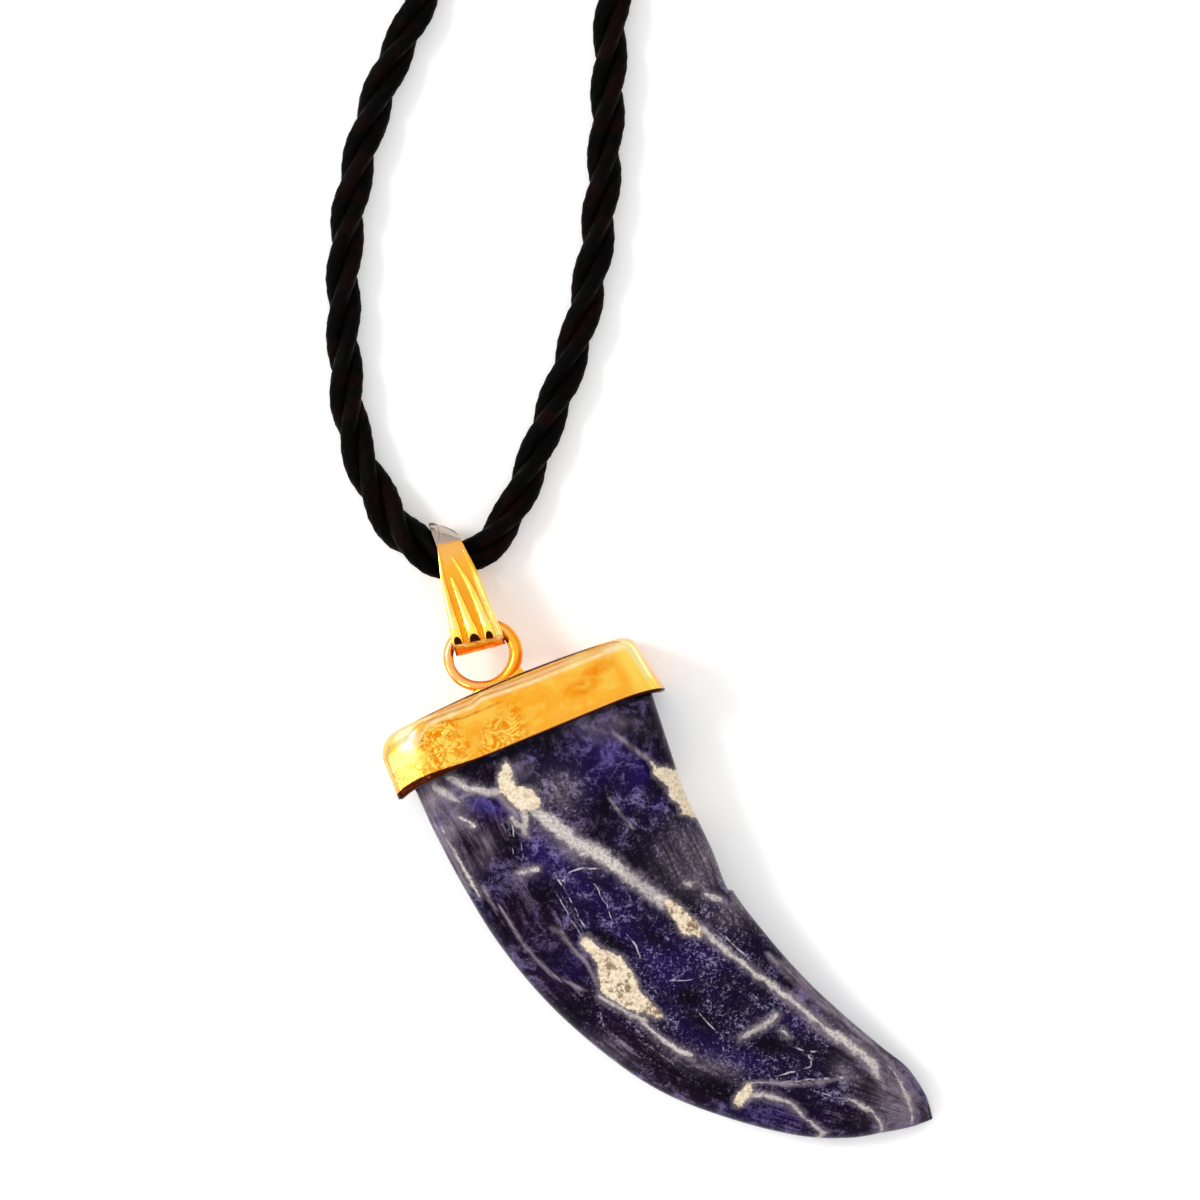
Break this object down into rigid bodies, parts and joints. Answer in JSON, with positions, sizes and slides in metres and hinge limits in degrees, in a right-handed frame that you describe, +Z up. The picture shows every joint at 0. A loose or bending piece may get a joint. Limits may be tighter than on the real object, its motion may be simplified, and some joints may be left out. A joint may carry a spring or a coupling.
{
  "type": "fang pendant necklace",
  "caption": "Curved polished stone fang in a gold sheet cap, hung by a soldered ring and a fluted gold bail on a black twisted cord with a barrel clasp.",
  "frame": {"origin": "on the surface that the pendant lies on, below the middle of the box round the fang, cap and bail", "axes": "+Z up from the surface, out of the pendant's front; +Y towards the bail and along the loop of cord; +X to the right as seen from above, the way the fang's tip curves"},
  "size_m": [0.0507, 0.2296, 0.0089],
  "materials": {
    "polished_stone": "polished, deep blue with cream veins",
    "polished_gold": "polished gold plate",
    "black_cord": "twisted satin"
  },
  "bodies": {
    "root": {"fang": "polished_stone", "cap_and_ring": "polished_gold", "bail": "polished_gold", "cord": "black_cord", "clasp": "polished_gold"}
  },
  "joints": []
}
